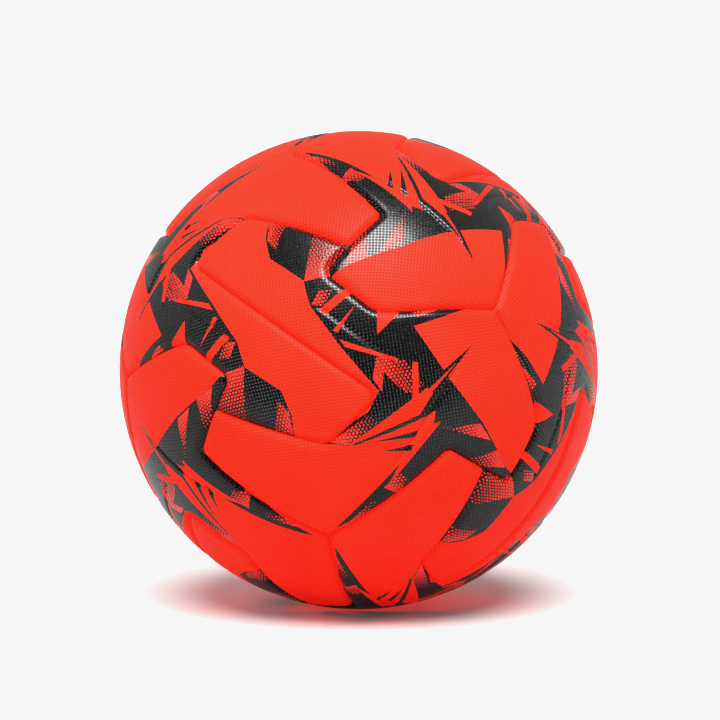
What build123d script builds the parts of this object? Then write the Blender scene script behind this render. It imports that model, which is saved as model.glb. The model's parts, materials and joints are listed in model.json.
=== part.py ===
from build123d import *
from math import radians, sin, sqrt, tan
import os

# A size 5 match ball: twelve identical interlocking cover panels, bonded edge to edge over a
# foam layer, a textile carcass and an air bladder with a rubber valve. The origin is the
# ball's centre and +Z is up as the ball rests on the ground. All lengths are in millimetres.

# Radii of the layers, from the outside in
BALL_RADIUS = 110.0
FOAM_RADIUS = 109.0
CARCASS_RADIUS = 106.0
BLADDER_RADIUS = 105.0
AIR_RADIUS = 104.2

# Panel edges
PANEL_GAP = 0.3  # between two neighbouring panels
EDGE_ROUND = 2.0  # rounding of the outer edge, which makes the seam a soft valley
FOLDED_SKIN = 1.1  # skin turned down over the edge of the foam
ADHESIVE_RADIUS = 107.8  # top of the adhesive that fills the gap below the rounded edges

# Corners of the seams on one face of a cube around the ball, in degrees east and north of
# the middle of that face
ARM_TIP = (0.8, 37.7)
NOTCH_FOOT = (1.9, 16.9)
NOTCH_SHOULDER = (18.5, 17.5)
RIDGE_SHOULDER = (-28.0, 17.2)
RIDGE_END = (-31.0, -1.6)
TEE_SHARE = 0.58  # how far the tee junction lies from the arm's tip towards the notch's foot

# Rounding of those corners along the surface
TEE_ROUND = 2.5
ARM_TIP_ROUND = 3.6
NOTCH_FOOT_ROUND = 4.8
NOTCH_SHOULDER_ROUND = 14.0
RIDGE_SHOULDER_ROUND = 7.0
RIDGE_END_ROUND = 5.5

# Pressed grooves in every panel, as start and end in the same degrees
GROOVES = (((7.0, 9.6), (33.0, 11.0)), ((42.4, 22.0), (43.6, -12.0)))
GROOVE_DEPTH = 0.6
GROOVE_CUTTER_RADIUS = 1.6

# Valve, placed in one panel on the side away from the front
VALVE_PLACE = (51.0, 22.0)
VALVE_PANEL = 4
VALVE_HOLE_RADIUS = 4.5
STEM_RADIUS = 4.2
STEM_TOP = 109.3
STEM_BOTTOM = 91.0
FLANGE_RADIUS = 13.0
FLANGE_THICKNESS = 1.6
CORE_RADIUS = 2.5
CORE_BOTTOM = 93.5
CORE_HEAD_RADIUS = 3.3
CORE_HEAD_BOTTOM = 107.3
CORE_HEAD_TOP = 108.8
NEEDLE_RADIUS = 1.0
NEEDLE_DEPTH = 13.0
NEEDLE_FUNNEL = 0.8
AIR_WAY_RADIUS = 1.2
WEIGHT_RADIUS = 17.0
WEIGHT_THICKNESS = 1.5

# How the ball lies on the ground, as turns about X, Y and Z
RESTING_TURN = Rot(-2.9, 36.4, -115.7)


def facing(place):
    """Unit direction of a place given in degrees east and north on the cube face at +X."""
    return Vector(1, tan(radians(place[0])), tan(radians(place[1]))).normalized()


def half_turn(v):
    return Vector(v.X, -v.Y, -v.Z)


def third_turn(v):
    return Vector(v.Z, v.X, v.Y)


def panel_corners():
    """The corners of one panel, anticlockwise seen from outside, each with its rounding."""
    arm_tip = facing(ARM_TIP)
    notch_foot = facing(NOTCH_FOOT)
    shoulder = facing(NOTCH_SHOULDER)
    ridge_shoulder = facing(RIDGE_SHOULDER)
    ridge_end = facing(RIDGE_END)
    tee = (arm_tip * (1 - TEE_SHARE) + notch_foot * TEE_SHARE).normalized()
    near_corner = Vector(1, -1, 1).normalized()
    far_corner = Vector(1, 1, 1).normalized()
    return [
        (tee, TEE_ROUND),
        (ridge_shoulder, RIDGE_SHOULDER_ROUND),
        (ridge_end, RIDGE_END_ROUND),
        (half_turn(ridge_end), RIDGE_END_ROUND),
        (half_turn(ridge_shoulder), RIDGE_SHOULDER_ROUND),
        (half_turn(tee), TEE_ROUND),
        (half_turn(arm_tip), ARM_TIP_ROUND),
        (half_turn(near_corner), 0),
        (third_turn(arm_tip), ARM_TIP_ROUND),
        (third_turn(notch_foot), NOTCH_FOOT_ROUND),
        (third_turn(shoulder), NOTCH_SHOULDER_ROUND),
        (far_corner, 0),
        (shoulder, NOTCH_SHOULDER_ROUND),
        (notch_foot, NOTCH_FOOT_ROUND),
    ]


def on_circle(direction, normal, height):
    """The point of the unit circle at this height above a plane through the centre."""
    flat = (direction - normal * direction.dot(normal)).normalized()
    return flat * sqrt(1 - height * height) + normal * height


def corner_points(corner, rounding, before, after, inset):
    """Start, middle and end of a corner's arc, or one point where the corner is sharp."""
    bend = 1 if before.cross(after).dot(corner) > 0 else -1
    height = sin((inset + bend * rounding) / BALL_RADIUS)
    base = (before + after) * (height / (1 + before.dot(after)))
    out = before.cross(after).normalized() * (bend * sqrt(1 - base.length**2))
    centre = base + out
    if rounding == 0:
        return [centre]
    edge = sin(inset / BALL_RADIUS)
    start = on_circle(centre, before, edge)
    end = on_circle(centre, after, edge)
    middle = on_circle(start + end, centre, start.dot(centre))
    return [start, middle, end]


def panel_outline(radius, inset):
    """Closed wire round one panel on a sphere, moved inwards from the seam's centre line."""
    corners = panel_corners()
    count = len(corners)
    sides = []
    for i in range(count):
        here = corners[i][0]
        there = corners[(i + 1) % count][0]
        sides.append(here.cross(there).normalized())
    points = []
    for i in range(count):
        corner, rounding = corners[i]
        points.append(corner_points(corner, rounding, sides[i - 1], sides[i], inset))
    edges = []
    for i in range(count):
        arc = points[i]
        if len(arc) == 3:
            edges.append(ThreePointArc(*[p * radius for p in arc]))
        start = arc[-1]
        end = points[(i + 1) % count][0]
        middle = on_circle(start + end, sides[i], sin(inset / BALL_RADIUS))
        edges.append(ThreePointArc(start * radius, middle * radius, end * radius))
    return Wire(edges)


def panel_block(outer, inner, inset):
    """Solid between two spheres inside one panel's outline."""
    sphere = Rot(0, 0, 200) * Sphere(outer)
    both = sphere.faces()[0].split_by_perimeter(panel_outline(outer, inset), Keep.BOTH)
    patch = min(both, key=lambda part: part.area)
    return Solid.thicken(patch.faces()[0], inner - outer)


def outer_edges(block):
    """The edges round the outer face of a panel block."""
    return block.faces().sort_by(lambda face: face.area)[-1].edges()


def groove_cutter(start_place, end_place):
    """Round-ended bar that follows the surface and presses one groove."""
    start = facing(start_place)
    end = facing(end_place)
    pole = start.cross(end).normalized()
    centre_radius = BALL_RADIUS - GROOVE_DEPTH + GROOVE_CUTTER_RADIUS
    section = Plane(start * centre_radius, x_dir=start, z_dir=pole.cross(start))
    bar = revolve(
        section * Circle(GROOVE_CUTTER_RADIUS),
        Axis((0, 0, 0), pole),
        start.get_angle(end),
    )
    for place in (start, end):
        bar += Pos(place * centre_radius) * Sphere(GROOVE_CUTTER_RADIUS)
    return bar


def rod(radius, bottom, top):
    """Cylinder along the valve axis between two distances from the ball's centre."""
    height = top - bottom
    return VALVE_SEAT * Pos(0, 0, bottom + height / 2) * Cylinder(radius, height)


def shell(outer, inner):
    return Sphere(outer) - Sphere(inner)


def pose(shape, turn):
    """One of the twelve places of a panel, then the way the ball lies."""
    thirds, halves = divmod(turn, 4)
    if halves:
        shape = shape.rotate((Axis.X, Axis.Y, Axis.Z)[halves - 1], 180)
    if thirds:
        shape = shape.rotate(Axis((0, 0, 0), (1, 1, 1)), 120 * thirds)
    return RESTING_TURN * shape


def save(name, shape):
    shape.label = name
    print(f"{name:22s} {len(shape.solids())} solid, {shape.volume / 1000:8.3f} cm3")
    export_step(shape, f"parts/{name}.step")


os.makedirs("parts", exist_ok=True)

# The valve axis, found by posing a point of the valve's place like its panel
valve_point = pose(Vertex(*facing(VALVE_PLACE)), VALVE_PANEL - 1)
VALVE_AXIS = valve_point.center().normalized()
VALVE_SEAT = Plane((0, 0, 0), z_dir=VALVE_AXIS)
print("valve axis", [round(k, 5) for k in VALVE_AXIS])

# Cover: each panel is a skin with its edges folded down round its own slab of foam
plain_block = panel_block(BALL_RADIUS, CARCASS_RADIUS, PANEL_GAP / 2)
foam = panel_block(FOAM_RADIUS, CARCASS_RADIUS, PANEL_GAP / 2 + FOLDED_SKIN)
panel = plain_block.fillet(EDGE_ROUND, outer_edges(plain_block)) - foam
for start_place, end_place in GROOVES:
    panel -= groove_cutter(start_place, end_place)

blocks = []
for number in range(1, 13):
    placed_panel = pose(panel, number - 1)
    placed_foam = pose(foam, number - 1)
    if number == VALVE_PANEL:
        hole = rod(VALVE_HOLE_RADIUS, CARCASS_RADIUS - 1, BALL_RADIUS + 2)
        placed_panel -= hole
        placed_foam -= hole
    save(f"cover_panel_{number:02d}", placed_panel.solid())
    save(f"foam_backing_{number:02d}", placed_foam.solid())
    blocks.append(pose(plain_block, number - 1))

# Adhesive that bonds every panel edge to its neighbour and to the carcass, in one web
adhesive = shell(ADHESIVE_RADIUS, CARCASS_RADIUS) - blocks
save("seam_adhesive", adhesive.solid())

# Carcass and bladder, each a closed ball with a hole for the valve stem
stem_way = rod(STEM_RADIUS, STEM_BOTTOM, STEM_TOP)
save("textile_carcass", (shell(CARCASS_RADIUS, BLADDER_RADIUS) - stem_way).solid())
save("air_bladder", (shell(BLADDER_RADIUS, AIR_RADIUS) - stem_way).solid())

# Valve: a stem with a flange bonded inside the bladder, and a self-sealing core in it
flange_way = rod(FLANGE_RADIUS, AIR_RADIUS / 2, BALL_RADIUS)
flange = shell(AIR_RADIUS, AIR_RADIUS - FLANGE_THICKNESS) & flange_way
valve_body = flange + stem_way
valve_body -= rod(CORE_RADIUS, CORE_BOTTOM, CORE_HEAD_BOTTOM)
valve_body -= rod(CORE_HEAD_RADIUS, CORE_HEAD_BOTTOM, STEM_TOP)
valve_body -= rod(AIR_WAY_RADIUS, STEM_BOTTOM, CORE_BOTTOM)
save("valve_body", valve_body.solid())

core = rod(CORE_RADIUS, CORE_BOTTOM, CORE_HEAD_BOTTOM)
core += rod(CORE_HEAD_RADIUS, CORE_HEAD_BOTTOM, CORE_HEAD_TOP)
core -= rod(NEEDLE_RADIUS, CORE_HEAD_TOP - NEEDLE_DEPTH, CORE_HEAD_TOP)
funnel_middle = CORE_HEAD_TOP - NEEDLE_FUNNEL / 2
funnel = Cone(NEEDLE_RADIUS, NEEDLE_RADIUS + NEEDLE_FUNNEL, NEEDLE_FUNNEL)
core -= VALVE_SEAT * Pos(0, 0, funnel_middle) * funnel
save("valve_core", core.solid())

# Balance weight bonded inside the bladder opposite the valve
weight_way = rod(WEIGHT_RADIUS, -BALL_RADIUS, -AIR_RADIUS / 2)
weight = shell(AIR_RADIUS, AIR_RADIUS - WEIGHT_THICKNESS) & weight_way
save("balance_weight", weight.solid())
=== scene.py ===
import json
import math

import bpy
import numpy as np
from mathutils import Matrix, Vector, geometry


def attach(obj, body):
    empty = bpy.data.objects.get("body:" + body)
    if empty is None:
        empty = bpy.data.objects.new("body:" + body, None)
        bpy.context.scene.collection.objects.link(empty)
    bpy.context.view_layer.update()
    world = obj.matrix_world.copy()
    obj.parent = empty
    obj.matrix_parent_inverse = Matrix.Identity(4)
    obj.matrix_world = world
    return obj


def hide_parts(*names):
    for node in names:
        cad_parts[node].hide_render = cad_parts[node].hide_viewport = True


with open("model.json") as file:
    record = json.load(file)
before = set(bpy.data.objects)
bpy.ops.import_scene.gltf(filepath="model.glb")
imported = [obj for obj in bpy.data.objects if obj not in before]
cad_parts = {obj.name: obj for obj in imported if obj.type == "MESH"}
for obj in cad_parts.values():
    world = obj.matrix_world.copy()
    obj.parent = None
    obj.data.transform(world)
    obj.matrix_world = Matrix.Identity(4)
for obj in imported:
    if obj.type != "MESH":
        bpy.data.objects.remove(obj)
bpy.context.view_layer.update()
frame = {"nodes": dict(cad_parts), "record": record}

# ---------------------------------------------------------------- the ball's own sizes
mounts = {m["name"]: m for m in frame["record"]["mounts"]}
BALL = -mounts["ground_rest"]["pos_m"][2]
VALVE_AXIS = np.array(mounts["needle_hole"]["axis"], float)
VALVE_AXIS /= np.linalg.norm(VALVE_AXIS)
MM = 0.001
SKIRT_LEVELS = (BALL - 2.6 * MM, BALL - 3.2 * MM)  # rings of the turned-down skin
SKIRT_STEP = 0.05 * MM  # the first ring lies at least this far below the rim
VALVE_HOLE = 4.5 * MM
LIP_DEPTH = 0.9 * MM  # the skin sinks round the valve
LIP_REACH = 1.1 * MM

# Seam corners on one cube face, in degrees east and north, with their rounding in mm
ARM_TIP = (0.8, 37.7)
NOTCH_FOOT = (1.9, 16.9)
NOTCH_SHOULDER = (18.5, 17.5)
RIDGE_SHOULDER = (-28.0, 17.2)
RIDGE_END = (-31.0, -1.6)
TEE_SHARE = 0.58
GROOVES = (((7.0, 9.6), (33.0, 11.0)), ((42.4, 22.0), (43.6, -12.0)))
GROOVE_DEPTH = 0.8 * MM
GROOVE_REACH = 0.93 * MM  # where a groove has lost two thirds of its depth
SEAM_DEPTH = 2.1 * MM
SEAM_REACH = 4.2 * MM  # how far from the seam the skin starts to bend down
SEAM_POWER = 2.5
VALVE_PANEL = 4

# Where the mesh has its points: in mm from the seam and the groove, in shares of the hole's
# radius, in mm along an outline, and in degrees between the points of the plain middle
SEAM_RINGS = (0.02, 0.3, 0.7, 1.2, 1.8, 2.5, 3.4, 4.4)
GROOVE_ROWS = (-2.0, -1.5, -1.1, -0.75, -0.4, 0, 0.4, 0.75, 1.1, 1.5, 2.0)
HOLE_RINGS = (1.0, 1.08, 1.2, 1.36, 1.6)
HOLE_SIDES = 48
OUTLINE_STEP = 1.3
CORNER_STEP = 0.6
GRID_STEP = 0.95
PRINT_STEP = 1.2


def unit(v):
    v = np.asarray(v, float)
    return v / np.linalg.norm(v, axis=-1, keepdims=True)


def facing(place):
    """Direction of a place in degrees east and north on the cube face at +X."""
    return unit([1.0, math.tan(math.radians(place[0])), math.tan(math.radians(place[1]))])


def half_turn(v):
    return np.array([v[0], -v[1], -v[2]])


def third_turn(v):
    return np.array([v[2], v[0], v[1]])


def panel_corners():
    arm, foot, shoulder = facing(ARM_TIP), facing(NOTCH_FOOT), facing(NOTCH_SHOULDER)
    ridge, end = facing(RIDGE_SHOULDER), facing(RIDGE_END)
    tee = unit(arm * (1 - TEE_SHARE) + foot * TEE_SHARE)
    near, far = unit([1, -1, 1]), unit([1, 1, 1])
    return [
        (tee, 2.5),
        (ridge, 7.0),
        (end, 5.5),
        (half_turn(end), 5.5),
        (half_turn(ridge), 7.0),
        (half_turn(tee), 2.5),
        (half_turn(arm), 3.6),
        (half_turn(near), 1.2),
        (third_turn(arm), 3.6),
        (third_turn(foot), 4.8),
        (third_turn(shoulder), 14.0),
        (far, 1.2),
        (shoulder, 14.0),
        (foot, 4.8),
    ]


def on_circle(direction, normal, height):
    flat = unit(direction - normal * (direction @ normal))
    return flat * math.sqrt(1 - height * height) + normal * height


def turn_about(start, end, axis, count):
    """Points from start to end along the circle round axis, without the last one."""
    middle = axis * (start @ axis)
    e1 = start - middle
    size = np.linalg.norm(e1)
    e1 = e1 / size
    e2 = np.cross(axis, e1)
    f = end - axis * (end @ axis)
    sweep = math.atan2(f @ e2, f @ e1)
    t = np.arange(count)[:, None] / count * sweep
    return middle + size * (np.cos(t) * e1 + np.sin(t) * e2)


def outline(inset_mm):
    """Closed loop of directions round one panel, moved inwards from the seam's middle."""
    corners = panel_corners()
    count = len(corners)
    sides = [unit(np.cross(corners[i][0], corners[(i + 1) % count][0])) for i in range(count)]
    inset = inset_mm * MM / BALL
    arcs = []
    for i, (corner, rounding) in enumerate(corners):
        before, after = sides[i - 1], sides[i]
        bend = 1 if np.cross(before, after) @ corner > 0 else -1
        height = math.sin(inset + bend * rounding * MM / BALL)
        base = (before + after) * (height / (1 + before @ after))
        up = unit(np.cross(before, after)) * bend
        centre = base + up * math.sqrt(1 - base @ base)
        start = on_circle(centre, before, math.sin(inset))
        end = on_circle(centre, after, math.sin(inset))
        arcs.append((start, end, centre))
    points = []
    for i, (start, end, centre) in enumerate(arcs):
        bend_steps = max(4, int(corners[i][1] / CORNER_STEP))
        points.append(turn_about(start, end, centre, bend_steps))
        nxt = arcs[(i + 1) % count][0]
        length = math.acos(min(1, end @ nxt)) * BALL / MM
        points.append(turn_about(end, nxt, sides[i], max(2, int(length / OUTLINE_STEP))))
    return np.vstack(points)


# ---------------------------------------------------------------- flat chart of one panel
CHART_EAST = math.radians(22.5)
CHART_UP = np.array([math.cos(CHART_EAST), math.sin(CHART_EAST), 0.0])
CHART_X = np.array([-math.sin(CHART_EAST), math.cos(CHART_EAST), 0.0])
CHART_Y = np.array([0.0, 0.0, 1.0])


def to_chart(v):
    """Degrees from the panel's middle, keeping distance and bearing."""
    v = np.atleast_2d(v)
    away = np.degrees(np.arccos(np.clip(v @ CHART_UP, -1, 1)))
    bearing = np.arctan2(v @ CHART_Y, v @ CHART_X)
    return np.c_[away * np.cos(bearing), away * np.sin(bearing)]


def from_chart(p):
    p = np.atleast_2d(np.asarray(p, float))
    away = np.radians(np.hypot(p[:, 0], p[:, 1]))
    bearing = np.arctan2(p[:, 1], p[:, 0])
    side = np.cos(bearing)[:, None] * CHART_X + np.sin(bearing)[:, None] * CHART_Y
    return np.cos(away)[:, None] * CHART_UP + np.sin(away)[:, None] * side


def inside(points, polygon):
    """Which points lie inside a polygon, by crossings."""
    x, y = points[:, 0], points[:, 1]
    hit = np.zeros(len(points), bool)
    ax, ay = polygon[-1]
    for bx, by in polygon:
        if ay != by:
            crosses = (by > y) != (ay > y)
            hit ^= crosses & (x < (ax - bx) * (y - by) / (ay - by) + bx)
        ax, ay = bx, by
    return hit


def along(polygon):
    """A closed polygon with points added along its sides."""
    out = []
    for a, b in zip(polygon, polygon[1:] + polygon[:1]):
        a, b = np.array(a, float), np.array(b, float)
        n = max(1, int(np.linalg.norm(b - a) / PRINT_STEP))
        out += [a + (b - a) * k / n for k in range(n)]
    return np.array(out)


# ---------------------------------------------------------------- print, in chart degrees
RED, DARK, DOTS = 0, 1, 2
# A dotted field also names the place where it is darkest and the place where it is reddest
PRINT = [
    (DARK, [(-43, 23), (-19, 28.5), (-18, 15), (-20, 12.6), (-33.4, 12), (-38.4, 15.6)]),
    (DARK, [(-22, 19), (-4, 19), (0, 23), (14, 32.5), (9, 25), (5, 19.3), (20, 14.2),
            (20, 4), (16, -3), (10.6, -11.2), (4, -16), (8.3, -3), (7.3, 2.2), (-6, 5.2),
            (-11, 6.7), (-17.6, 8.6), (-22.4, 12.2)]),
    (DARK, [(19.5, 14.4), (33, 10.8), (47, 5), (52, 4), (50, 0), (30, 0), (25, -20),
            (19.4, -33), (21.2, -15), (22.8, 3), (21, 6.4), (20, 3)]),
    # dotted fields
    (DOTS, [(-41, 20), (-36.4, 21.8), (-33.8, 14.5), (-37.4, 15.4)], (-33, 20), (-40, 15)),
    (DOTS, [(-29, 24), (-20, 26), (-18.4, 17), (-22.4, 12.4)], (-30, 25), (-19, 11)),
    (DOTS, [(-2, 5.6), (8, 11.6), (15, 10), (14.6, 7.6), (9.6, 2.6), (8, 2.6)], (13, 15), (4, 1)),
    (DOTS, [(22.8, -11), (27.4, -10.4), (26, -15.4), (22.4, -16)], (26, -9), (23, -17)),
    (DOTS, [(22, -21), (23.8, -20), (21.4, -31), (21.2, -29)], (23.6, -21), (21.2, -29)),
    (DOTS, [(25, 4), (32.6, 10.2), (37.6, 8.4)], (27, 3), (35, 11)),
    (DOTS, [(35.5, 1.4), (41, 7.4), (46.4, 5), (39, 1)], (37, 1), (44, 7)),
    (DOTS, [(0, 22.2), (8.4, 28), (4.4, 21.6)], (1, 24), (7, 22)),
    (DOTS, [(5.4, -14.6), (9.8, -11.6), (13, -5), (9, -3)], (12, -6), (6, -13)),
    (DOTS, [(-18, 13), (-15.6, 15), (-15, 10.4), (-17.4, 9)], (-14, 15), (-19, 9)),
    (DARK, [(-4.6, 6), (2.2, 8.2), (4.6, 3.4)]),
    (DARK, [(5.6, 6.4), (13.6, 5.4), (9, 1)]),
    (DARK, [(27.4, -3), (29.4, -1), (27, -14), (25.4, -12)]),
    # red shards across the dark fields
    (RED, [(-15.2, 9), (-13.2, 9.2), (-11.4, 17.4), (-13.4, 17.4)]),
    (RED, [(-9.6, 7.2), (-8.4, 7.4), (-9, 15)]),
    (RED, [(-4.4, 17.4), (-0.8, 12.6), (0.4, 20)]),
    (RED, [(9.6, 12.4), (10.8, 13), (17.6, 4.2), (16.6, 3)]),
    (RED, [(-7, 6.4), (6.4, 10.9), (6.8, 10.3), (-5, 5.8)]),
    (RED, [(9.4, -12.2), (17.6, 14.4), (18.4, 3.4)]),
    (RED, [(12.2, -9.4), (20.6, 3.4), (16.8, -2.6)]),
    (RED, [(22.8, -15), (23.7, 5), (20.4, 0.4)]),
    # dark slivers over the red fields
    (DARK, [(15.4, 9.6), (19.2, 24.5), (18.4, 9.4)]),
    (RED, [(16.6, 9.4), (18.4, 18.4), (17.6, 9.2)]),
    (DARK, [(13.2, -8.4), (20.6, 0.4), (20.9, -1.6)]),
    (DARK, [(16.4, -8.8), (21.8, -3), (22, -5)]),
]
DOT_SMALL, DOT_LARGE = 0.26, 0.96  # radius of the open red dots, in mm


# ---------------------------------------------------------------- relief
def seam_depth(d):
    """Depth below the ball's surface at a distance from the seam's middle, in metres."""
    return SEAM_DEPTH * np.clip(1 - d / SEAM_REACH, 0, 1) ** SEAM_POWER


def groove_depth(v):
    depth = np.zeros(len(v))
    for start_place, end_place in GROOVES:
        start, end = facing(start_place), facing(end_place)
        pole = unit(np.cross(start, end))
        across = np.arcsin(np.clip(v @ pole, -1, 1)) * BALL
        flat = unit(v - (v @ pole)[:, None] * pole)
        total = math.acos(start @ end)
        turned = np.arctan2(flat @ np.cross(pole, start), flat @ start)
        beyond = np.maximum(np.maximum(-turned, turned - total), 0) * BALL
        away = np.hypot(across, beyond)
        depth = np.maximum(depth, GROOVE_DEPTH * np.exp(-((away / GROOVE_REACH) ** 2)))
    return depth


def distance_to_loop(v, loop):
    """Shortest distance from each direction to a closed loop of directions, in metres."""
    a, b = loop, np.roll(loop, -1, axis=0)
    ab = b - a
    length2 = (ab * ab).sum(1)
    best = np.empty(len(v))
    batch = 2000
    for k in range(0, len(v), batch):
        p = v[k : k + batch]
        t = ((p[:, None] - a) * ab).sum(2) / length2
        t = np.clip(t, 0, 1)
        gap = p[:, None] - (a + t[..., None] * ab)
        best[k : k + batch] = np.sqrt((gap * gap).sum(2).min(1))
    return best * BALL


# ---------------------------------------------------------------- one panel's mesh
def hex_grid(low, high, step):
    rows = []
    y, odd = low[1], 0
    while y < high[1]:
        x = np.arange(low[0] + odd * step / 2, high[0], step)
        rows.append(np.c_[x, np.full(len(x), y)])
        y += step * math.sqrt(3) / 2
        odd = 1 - odd
    return np.vstack(rows)


def groove_lines():
    """Chart lines along each groove, close together where the relief is."""
    lines = []
    past_end, count = 0.012, 46
    for start_place, end_place in GROOVES:
        start, end = facing(start_place), facing(end_place)
        pole = unit(np.cross(start, end))
        total = math.acos(start @ end)
        for offset in GROOVE_ROWS:
            t = np.linspace(-past_end, total + past_end, count)
            line = np.outer(np.cos(t), start) + np.outer(np.sin(t), np.cross(pole, start))
            lines.append(to_chart(unit(line + pole * offset * MM / BALL)))
    return lines


def flat_panel(hole=None):
    """Points, triangles and the print patch of each, in the chart, and the seam's middle.

    hole is (middle, radius) in degrees.
    """
    loops = [to_chart(outline(r)) for r in SEAM_RINGS]
    seam = outline(0)
    points, edges = [], []

    def add(loop, closed=True):
        first = len(points)
        points.extend(map(tuple, loop))
        n = len(loop)
        edges.extend((first + i, first + (i + 1) % n) for i in range(n if closed else n - 1))

    for loop in loops:
        add(loop)
    if hole:
        middle, radius = hole
        t = np.linspace(0, 2 * math.pi, HOLE_SIDES, endpoint=False)
        ring = np.c_[np.cos(t), np.sin(t)]
        for share in HOLE_RINGS:
            add(middle + ring * radius * share)
    for patch in PRINT:
        add(along(patch[1]))
    for line in groove_lines():
        add(line, closed=False)
    grid = hex_grid(loops[0].min(0), loops[0].max(0), GRID_STEP)
    grid = grid[inside(grid, loops[-1])]
    # the even grid keeps clear of the rings along the seam and round the hole
    clear_of_seam = (SEAM_RINGS[-1] + 0.7) * MM
    clear_of_hole = HOLE_RINGS[-1] + 0.3
    grid = grid[distance_to_loop(from_chart(grid), seam) > clear_of_seam]
    if hole:
        grid = grid[np.hypot(*(grid - middle).T) > radius * clear_of_hole]
    points.extend(map(tuple, grid))
    same_point, no_area = 1e-4, 1e-7
    got = geometry.delaunay_2d_cdt([Vector(p) for p in points], edges, [], 0, same_point)
    flat = np.array([tuple(p) for p in got[0]])
    tris = np.array([t for t in got[2] if len(t) == 3])
    middle_of = flat[tris].mean(1)
    keep = inside(middle_of, loops[0])
    if hole:
        keep &= ~inside(middle_of, hole[0] + ring * hole[1])
    a, b, c = flat[tris[:, 0]], flat[tris[:, 1]], flat[tris[:, 2]]
    area = (b[:, 0] - a[:, 0]) * (c[:, 1] - a[:, 1]) - (b[:, 1] - a[:, 1]) * (c[:, 0] - a[:, 0])
    keep &= np.abs(area) > no_area
    tris[area < 0] = tris[area < 0][:, ::-1]
    tris, middle_of = tris[keep], middle_of[keep]
    patch_of = np.full(len(tris), -1)
    for k, patch in enumerate(PRINT):
        patch_of[inside(middle_of, patch[1])] = k
    used, tris = np.unique(tris, return_inverse=True)
    return flat[used], tris.reshape(-1, 3), patch_of, seam


def tone(patch, place):
    """Radius of the open dots at a place of a dotted field, in mm."""
    dark, red = np.array(patch[2], float), np.array(patch[3], float)
    share = (place - dark) @ (red - dark) / ((red - dark) @ (red - dark))
    return DOT_SMALL + (DOT_LARGE - DOT_SMALL) * min(max(share, 0.0), 1.0)


def panel_mesh(name, hole=None):
    """Mesh data of one panel on the cube face it is drawn on.

    It has the vertices, their places in the chart, the faces, the material and the dot radii of
    each face, and the edges that stay sharp.
    """
    flat, tris, patches, seam = flat_panel(hole)
    v = from_chart(flat)
    d = distance_to_loop(v, seam)
    depth = seam_depth(d) + groove_depth(v)
    if hole:
        lip = np.radians(np.hypot(*(flat - hole[0]).T) - hole[1]) * BALL
        depth += LIP_DEPTH * np.exp(-((np.maximum(lip, 0) / LIP_REACH) ** 2))
    co = v * (BALL - depth)[:, None]
    # the skin is turned down at every open edge
    e = np.vstack([tris[:, [0, 1]], tris[:, [1, 2]], tris[:, [2, 0]]])
    key = np.sort(e, axis=1)
    _, first, count = np.unique(key, axis=0, return_index=True, return_counts=True)
    rim = e[first[count == 1]]
    around = np.unique(rim)
    lower = {}
    extra, extra_flat = [], []
    for level in SKIRT_LEVELS:
        for i in around:
            lower[(i, level)] = len(co) + len(extra)
            extra.append(v[i] * min(level, np.linalg.norm(co[i]) - SKIRT_STEP))
            extra_flat.append(flat[i])
    faces = [tuple(t) for t in tris]
    patches = list(patches)
    owner = {}
    for t, patch in zip(tris, patches):
        for k in range(3):
            owner[(t[k], t[(k + 1) % 3])] = patch
    for a, b in rim:
        upper = (a, b)
        for level in SKIRT_LEVELS:
            under = (lower[(a, level)], lower[(b, level)])
            faces.append((upper[1], upper[0], under[0], under[1]))
            patches.append(owner[(a, b)])
            upper = under
    co = np.vstack([co, np.array(extra)])
    flat = np.vstack([flat, np.array(extra_flat)])
    mats = [PRINT[p][0] if p >= 0 else RED for p in patches]
    tones = []
    for face, p in zip(faces, patches):
        dotted = p >= 0 and PRINT[p][0] == DOTS
        tones += [tone(PRINT[p], flat[i]) if dotted else 0.0 for i in face]
    sharp = {tuple(sorted(edge)) for edge in rim.tolist()}
    return co, flat, faces, mats, tones, sharp


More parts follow.
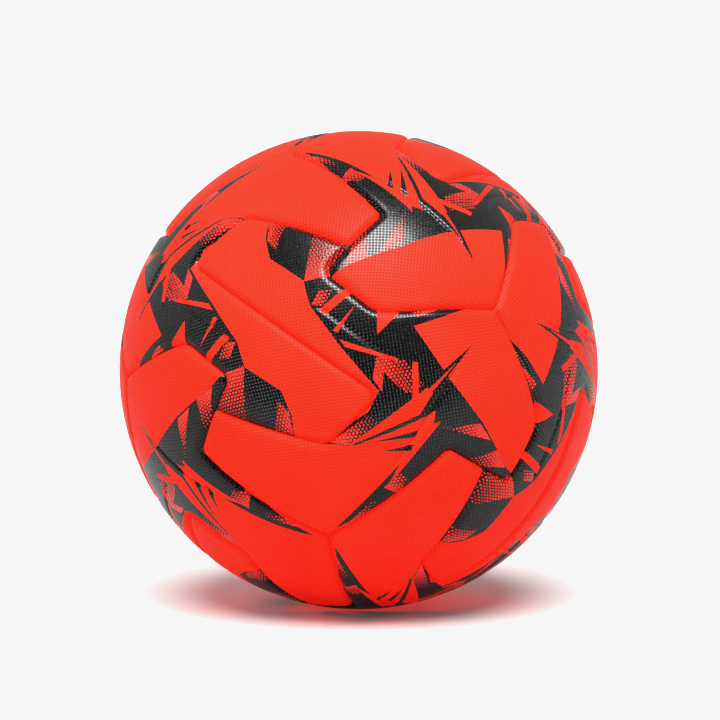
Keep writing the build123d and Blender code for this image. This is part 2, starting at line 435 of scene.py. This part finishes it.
# ---------------------------------------------------------------- node helpers
class Nodes:
    """Builds a material's nodes in short lines."""

    def __init__(self, name):
        self.mat = bpy.data.materials.new(name)
        self.mat.use_nodes = True
        self.tree = self.mat.node_tree
        self.tree.nodes.clear()
        self.out = self.tree.nodes.new("ShaderNodeOutputMaterial")
        self.bsdf = self.tree.nodes.new("ShaderNodeBsdfPrincipled")
        self.tree.links.new(self.bsdf.outputs[0], self.out.inputs[0])

    def put(self, socket, value):
        if isinstance(value, bpy.types.NodeSocket):
            self.tree.links.new(value, socket)
        else:
            socket.default_value = value

    def math(self, op, a, b=None):
        n = self.tree.nodes.new("ShaderNodeMath")
        n.operation = op
        for i, x in enumerate((a, b)):
            if x is not None:
                self.put(n.inputs[i], x)
        return n.outputs[0]

    def ramp(self, value, low, high, to_low=0.0, to_high=1.0):
        n = self.tree.nodes.new("ShaderNodeMapRange")
        n.interpolation_type = "SMOOTHSTEP"
        for i, x in enumerate((value, low, high, to_low, to_high)):
            self.put(n.inputs[i], x)
        return n.outputs[0]

    def mix(self, share, a, b):
        n = self.tree.nodes.new("ShaderNodeMix")
        n.data_type = "RGBA"
        self.put(n.inputs[0], share)
        self.put(n.inputs[6], a)
        self.put(n.inputs[7], b)
        return n.outputs[2]

    def noise(self, coords, scale, detail=3.0, rough=0.5):
        n = self.tree.nodes.new("ShaderNodeTexNoise")
        self.put(n.inputs["Vector"], coords)
        n.inputs["Scale"].default_value = scale
        n.inputs["Detail"].default_value = detail
        n.inputs["Roughness"].default_value = rough
        return n.outputs[0]

    def place(self):
        return self.tree.nodes.new("ShaderNodeTexCoord").outputs["Object"]

    def chart(self, layer="panel_mm"):
        """The two values of a UV layer: the panel's flat coordinates in mm, or the dot radius."""
        n = self.tree.nodes.new("ShaderNodeUVMap")
        n.uv_map = layer
        s = self.tree.nodes.new("ShaderNodeSeparateXYZ")
        self.tree.links.new(n.outputs[0], s.inputs[0])
        return s.outputs[0], s.outputs[1]

    def lattice(self, x, y, pitch):
        """Distance to the nearest point of a triangular lattice."""
        w, h = pitch / 2, pitch * math.sqrt(3) / 2
        ax = self.math("PINGPONG", x, w)
        ay = self.math("PINGPONG", y, h)
        bx = self.math("SUBTRACT", w, ax)
        by = self.math("SUBTRACT", h, ay)
        a = self.math("ADD", self.math("MULTIPLY", ax, ax), self.math("MULTIPLY", ay, ay))
        b = self.math("ADD", self.math("MULTIPLY", bx, bx), self.math("MULTIPLY", by, by))
        return self.math("SQRT", self.math("MINIMUM", a, b))

    def square_lattice(self, x, y, pitch):
        """Distance to the nearest point of a square lattice."""
        ax = self.math("PINGPONG", x, pitch / 2)
        ay = self.math("PINGPONG", y, pitch / 2)
        both = self.math("ADD", self.math("MULTIPLY", ax, ax), self.math("MULTIPLY", ay, ay))
        return self.math("SQRT", both)

    def bump(self, height, distance, strength=1.0, normal=None):
        n = self.tree.nodes.new("ShaderNodeBump")
        n.inputs["Strength"].default_value = strength
        n.inputs["Distance"].default_value = distance
        self.tree.links.new(height, n.inputs["Height"])
        if normal is not None:
            self.tree.links.new(normal, n.inputs["Normal"])
        return n.outputs[0]

    def turned(self, x, y, degrees):
        c, s = math.cos(math.radians(degrees)), math.sin(math.radians(degrees))
        u = self.math("ADD", self.math("MULTIPLY", x, c), self.math("MULTIPLY", y, s))
        v = self.math("SUBTRACT", self.math("MULTIPLY", y, c), self.math("MULTIPLY", x, s))
        return u, v


GRAIN_PITCH = 1.55  # of the pits, in mm
DOT_PITCH = 1.75  # of the printed dots, in mm
GRAIN_TURN = 45.0  # degrees from the chart's axes
CHART_OFFSET = 200.0  # mm; it keeps the chart's coordinates positive
RED_COLOUR = (0.90, 0.032, 0.014, 1)
RED_SHADE = (0.86, 0.026, 0.009, 1)
INK = (0.0012, 0.0012, 0.0013, 1)
INK_WORN = (0.003, 0.003, 0.0031, 1)
PAINTED_GLOW_TINT = (1.0, 0.003, 0.0, 1)
PAINTED_GLOW = 0.38  # painted glow: the red emits red light of its own at this strength, which stands for the pigment's fluorescence and also lightens the red where it lies in shade
BLACK = (0.0, 0.0, 0.0, 1)
# roughness, specular level, pit bump distance and strength of the red, the ink and the dots
FINISH = {
    RED: (0.42, 0.04, 0.0003, 0.8),
    DARK: (0.22, 0.33, 0.00036, 1.0),
    DOTS: (0.24, 0.27, 0.00036, 1.0),
}


def cover_material(name, kind):
    """Pitted skin: plain red, dark ink, or dark ink with red dots left open in it."""
    n = Nodes(name)
    x, y = n.chart()
    place = n.place()
    cloud = n.noise(place, 28.0, 4.0)
    fine = n.noise(place, 900.0, 2.0)
    red = n.mix(n.ramp(cloud, 0.3, 0.7), RED_SHADE, RED_COLOUR)
    ink = n.mix(n.ramp(fine, 0.35, 0.75), INK, INK_WORN)
    gx, gy = n.turned(x, y, GRAIN_TURN)
    cell = n.square_lattice(gx, gy, GRAIN_PITCH)
    pit = n.ramp(cell, 0.16, 0.62)
    rough, gloss, pit_depth, pit_strength = FINISH[kind]
    if kind == RED:
        colour = red
    elif kind == DARK:
        colour = ink
    else:
        dot = n.lattice(gx, gy, DOT_PITCH)
        size, _ = n.chart("dot_radius")
        inked = n.ramp(n.math("SUBTRACT", dot, size), -0.05, 0.05)
        colour = n.mix(inked, red, ink)
    # painted shade: the colour in the pits is darkened towards black, as if shade falls in them
    painted_pit_shade = n.mix(0.55, colour, BLACK)
    colour = n.mix(pit, painted_pit_shade, colour)
    n.put(n.bsdf.inputs["Base Color"], colour)
    n.put(n.bsdf.inputs["Roughness"], n.ramp(fine, 0.3, 0.7, rough - 0.05, rough + 0.06))
    n.bsdf.inputs["Specular IOR Level"].default_value = gloss
    # painted glow: the red and the open red dots emit red light of their own; the ink emits none
    if kind == DOTS:
        n.put(n.bsdf.inputs["Emission Color"], n.mix(inked, PAINTED_GLOW_TINT, BLACK))
    else:
        n.bsdf.inputs["Emission Color"].default_value = PAINTED_GLOW_TINT
    n.bsdf.inputs["Emission Strength"].default_value = 0.0 if kind == DARK else PAINTED_GLOW
    normal = n.bump(fine, 0.00002, 0.4)
    normal = n.bump(pit, pit_depth, pit_strength, normal)
    n.put(n.bsdf.inputs["Normal"], normal)
    return n.mat


def rubber_material(name, low, high, rough):
    n = Nodes(name)
    place = n.place()
    cloud = n.noise(place, 60.0, 5.0)
    grain = n.noise(place, 600.0, 3.0, 0.6)
    n.put(n.bsdf.inputs["Base Color"], n.mix(n.ramp(cloud, 0.3, 0.7), low, high))
    n.put(n.bsdf.inputs["Roughness"], n.ramp(grain, 0.3, 0.7, rough - 0.07, rough + 0.09))
    n.put(n.bsdf.inputs["Normal"], n.bump(grain, 0.00008, 0.6))
    return n.mat


def foam_material(name):
    n = Nodes(name)
    place = n.place()
    cells = n.tree.nodes.new("ShaderNodeTexVoronoi")
    n.put(cells.inputs["Vector"], place)
    cells.inputs["Scale"].default_value = 900.0
    wall = n.ramp(cells.outputs["Distance"], 0.1, 0.7)
    n.put(n.bsdf.inputs["Base Color"], n.mix(wall, (0.62, 0.61, 0.57, 1), (0.82, 0.81, 0.77, 1)))
    n.put(n.bsdf.inputs["Roughness"], n.ramp(wall, 0.0, 1.0, 0.95, 0.8))
    n.put(n.bsdf.inputs["Normal"], n.bump(wall, 0.0003, 0.8))
    return n.mat


def carcass_material(name):
    """Plain weave soaked in latex, on the sphere's longitude and latitude."""
    n = Nodes(name)
    s = n.tree.nodes.new("ShaderNodeSeparateXYZ")
    n.put(s.inputs[0], n.place())
    across = n.math("MULTIPLY", n.math("ARCTAN2", s.outputs[1], s.outputs[0]), 340.0)
    up = n.math("MULTIPLY", s.outputs[2], 3200.0)
    warp = n.math("SINE", across)
    weft = n.math("SINE", up)
    over = n.math("MULTIPLY", warp, weft)
    thread = n.ramp(over, -0.8, 0.8)
    n.put(n.bsdf.inputs["Base Color"], n.mix(thread, (0.50, 0.47, 0.38, 1), (0.74, 0.71, 0.62, 1)))
    n.put(n.bsdf.inputs["Roughness"], n.ramp(thread, 0.0, 1.0, 0.75, 0.6))
    n.put(n.bsdf.inputs["Normal"], n.bump(thread, 0.0003, 0.7))
    return n.mat


# ---------------------------------------------------------------- the cover
cover = [
    cover_material("skin_red", RED),
    cover_material("skin_ink", DARK),
    cover_material("skin_dots", DOTS),
]
rest = (
    Matrix.Rotation(math.radians(-2.9), 3, "X")
    @ Matrix.Rotation(math.radians(36.4), 3, "Y")
    @ Matrix.Rotation(math.radians(-115.7), 3, "Z")
)


def place_of(number):
    """Turn of panel 1 to 12 from the cube face it is drawn on to where it lies."""
    thirds, halves = divmod(number - 1, 4)
    turn = Matrix.Identity(3)
    if halves:
        turn = Matrix.Rotation(math.pi, 3, "XYZ"[halves - 1])
    third = Matrix.Rotation(math.radians(120 * thirds), 3, Vector((1, 1, 1)).normalized())
    return np.array(rest @ third @ turn)


def build_panel(number, data):
    co, flat, faces, mats, tones, sharp = data
    mesh = bpy.data.meshes.new(f"cover_skin_{number:02d}")
    turn = place_of(number)
    mesh.from_pydata((co @ turn.T).tolist(), [], faces)
    for material in cover:
        mesh.materials.append(material)
    mesh.polygons.foreach_set("material_index", mats)
    uv = mesh.uv_layers.new(name="panel_mm")
    index = np.empty(len(mesh.loops), int)
    mesh.loops.foreach_get("vertex_index", index)
    mm = np.radians(flat) * BALL / MM + CHART_OFFSET
    uv.data.foreach_set("uv", mm[index].ravel())
    dots = mesh.uv_layers.new(name="dot_radius")
    dots.data.foreach_set("uv", np.c_[tones, tones].ravel())
    mesh.polygons.foreach_set("use_smooth", np.ones(len(mesh.polygons), bool))
    for edge in mesh.edges:
        edge.use_edge_sharp = tuple(sorted(edge.vertices)) in sharp
    mesh.update()
    piece = bpy.data.objects.new(f"cover_skin_{number:02d}", mesh)
    bpy.context.scene.collection.objects.link(piece)
    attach(piece, "root")
    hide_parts(f"cover_panel_{number:02d}")


plain = panel_mesh("plain")
valve_local = np.linalg.inv(place_of(VALVE_PANEL)) @ VALVE_AXIS
valve_hole = (to_chart(valve_local)[0], math.degrees(VALVE_HOLE / BALL))
holed = panel_mesh("holed", valve_hole)
for number in range(1, 13):
    build_panel(number, holed if number == VALVE_PANEL else plain)

# ---------------------------------------------------------------- CAD pieces that stay
looks = {
    "backing_foam": foam_material("foam"),
    "seam_adhesive": rubber_material("adhesive", (0.03, 0.006, 0.004, 1), (0.05, 0.01, 0.006, 1), 0.85),
    "carcass_fabric": carcass_material("carcass"),
    "bladder_rubber": rubber_material("butyl", (0.02, 0.02, 0.02, 1), (0.035, 0.035, 0.035, 1), 0.6),
    "valve_rubber": rubber_material("valve", (0.03, 0.03, 0.032, 1), (0.05, 0.05, 0.052, 1), 0.45),
    "valve_core_rubber": rubber_material("core", (0.012, 0.012, 0.013, 1), (0.02, 0.02, 0.02, 1), 0.4),
}
slot_of = {p["node"]: p["material_slot"] for p in frame["record"]["subparts"]}
for node, o in frame["nodes"].items():
    look = looks.get(slot_of[node])
    if look:
        for holder in o.material_slots:
            holder.material = look

# ---------------------------------------------------------------- studio
FLOOR_HALF = 12.0
CARD_AWAY, CARD_HALF, CARD_TOP = 0.5, 0.9, 0.1


def flat_sheet(name, corners, material):
    """One face that belongs to the studio."""
    mesh = bpy.data.meshes.new(name)
    mesh.from_pydata(corners, [], [(0, 1, 2, 3)])
    mesh.materials.append(material)
    sheet = bpy.data.objects.new(name, mesh)
    bpy.context.scene.collection.objects.link(sheet)
    return sheet


def paper_material():
    """White paper that gives the ball less light than the camera sees."""
    n = Nodes("paper")
    cloud = n.noise(n.place(), 40.0, 3.0)
    seen = n.tree.nodes.new("ShaderNodeLightPath").outputs["Is Camera Ray"]
    white = n.mix(cloud, (0.90, 0.90, 0.90, 1), (0.92, 0.92, 0.92, 1))
    n.put(n.bsdf.inputs["Base Color"], n.mix(seen, (0.48, 0.48, 0.48, 1), white))
    n.put(n.bsdf.inputs["Roughness"], n.ramp(cloud, 0.3, 0.7, 0.75, 0.85))
    n.bsdf.inputs["Specular IOR Level"].default_value = 0.0
    n.bsdf.inputs["Emission Color"].default_value = (1, 1, 1, 1)
    n.bsdf.inputs["Emission Strength"].default_value = 0.02  # a lit table keeps the shadow light
    return n.mat


def velvet_material():
    n = Nodes("velvet")
    n.bsdf.inputs["Base Color"].default_value = (0.003, 0.003, 0.003, 1)
    n.bsdf.inputs["Specular IOR Level"].default_value = 0.0
    return n.mat


floor_sides = [(-1, -1), (1, -1), (1, 1), (-1, 1)]
floor_corners = [(x * FLOOR_HALF, y * FLOOR_HALF, -BALL) for x, y in floor_sides]
flat_sheet("floor", floor_corners, paper_material())

# a black card in front of the ball, which only the ball's gloss sees
card_sides = [(-1, -BALL), (1, -BALL), (1, CARD_TOP), (-1, CARD_TOP)]
card_corners = [(x * CARD_HALF, -CARD_AWAY, z) for x, z in card_sides]
card = flat_sheet("black_card", card_corners, velvet_material())
card.visible_camera = card.visible_diffuse = card.visible_shadow = False


# even white light; the ball's gloss sees bright sides and a dark front instead
AMBIENT = 0.34
GLOSS_DARK, GLOSS_BRIGHT = 0.02, 0.5
SIDE_FROM, SIDE_TO = 0.35, 1.1
world = bpy.data.worlds.new("studio")
bpy.context.scene.world = world
world.use_nodes = True
tree = world.node_tree
sky = tree.nodes["Background"]
sky.inputs[0].default_value = (1, 1, 1, 1)
ray = tree.nodes.new("ShaderNodeLightPath")
toward = tree.nodes.new("ShaderNodeTexCoord")
split = tree.nodes.new("ShaderNodeSeparateXYZ")
side = tree.nodes.new("ShaderNodeMath")
side.operation = "ABSOLUTE"
side_or_back = tree.nodes.new("ShaderNodeMath")
gloss_light = tree.nodes.new("ShaderNodeMapRange")
for k, value in enumerate((SIDE_FROM, SIDE_TO, GLOSS_DARK, GLOSS_BRIGHT)):
    gloss_light.inputs[k + 1].default_value = value
light = tree.nodes.new("ShaderNodeMapRange")
light.inputs[3].default_value = AMBIENT
tree.links.new(toward.outputs["Generated"], split.inputs[0])
tree.links.new(split.outputs[0], side.inputs[0])
tree.links.new(side.outputs[0], side_or_back.inputs[0])
tree.links.new(split.outputs[1], side_or_back.inputs[1])
tree.links.new(side_or_back.outputs[0], gloss_light.inputs[0])
tree.links.new(ray.outputs["Is Glossy Ray"], light.inputs[0])
tree.links.new(gloss_light.outputs[0], light.inputs[4])
tree.links.new(light.outputs[0], sky.inputs[1])


def far_softbox(name, toward, strength, spread, lights=True, shines=True):
    """Even soft light from one side; it lights the surfaces, shows in their gloss, or both."""
    data = bpy.data.lights.new(name, "SUN")
    data.energy = strength
    data.angle = math.radians(spread)
    o = bpy.data.objects.new(name, data)
    o.rotation_euler = Vector(toward).to_track_quat("Z", "Y").to_euler()
    o.visible_diffuse = lights
    o.visible_glossy = shines
    bpy.context.scene.collection.objects.link(o)


far_softbox("key", (0.0, -0.46, 0.885), 5.9, 50, shines=False)
far_softbox("fill", (-0.93, -0.25, 0.27), 0.6, 70, shines=False)
far_softbox("key_gloss", (0.10, -0.38, 0.92), 10.0, 37, lights=False)

# ---------------------------------------------------------------- camera
CAMERA_AWAY = 25 * BALL
ELEVATION = math.radians(7)
AIM = Vector((0.0006, 0, 0.00465))
camera_data = bpy.data.cameras.new("camera")
camera_data.sensor_width = 36
camera_data.lens = 299
camera = bpy.data.objects.new("camera", camera_data)
bpy.context.scene.collection.objects.link(camera)
camera.location = AIM + CAMERA_AWAY * Vector((0, -math.cos(ELEVATION), math.sin(ELEVATION)))
camera.rotation_euler = (AIM - camera.location).to_track_quat("-Z", "Y").to_euler()
camera_data.clip_start, camera_data.clip_end = 0.1, 50
bpy.context.scene.camera = camera

# the lit table is brighter than white and is held at this level, as in the photograph
WHITE_LEVEL = 0.922
view = bpy.context.scene.view_settings
view.view_transform = "Standard"
view.use_curve_mapping = True
levels = view.curve_mapping.curves[3]
levels.points[1].location = (1.0, WHITE_LEVEL)
levels.points.new(WHITE_LEVEL, WHITE_LEVEL)
for point in levels.points:
    point.handle_type = "VECTOR"
view.curve_mapping.update()
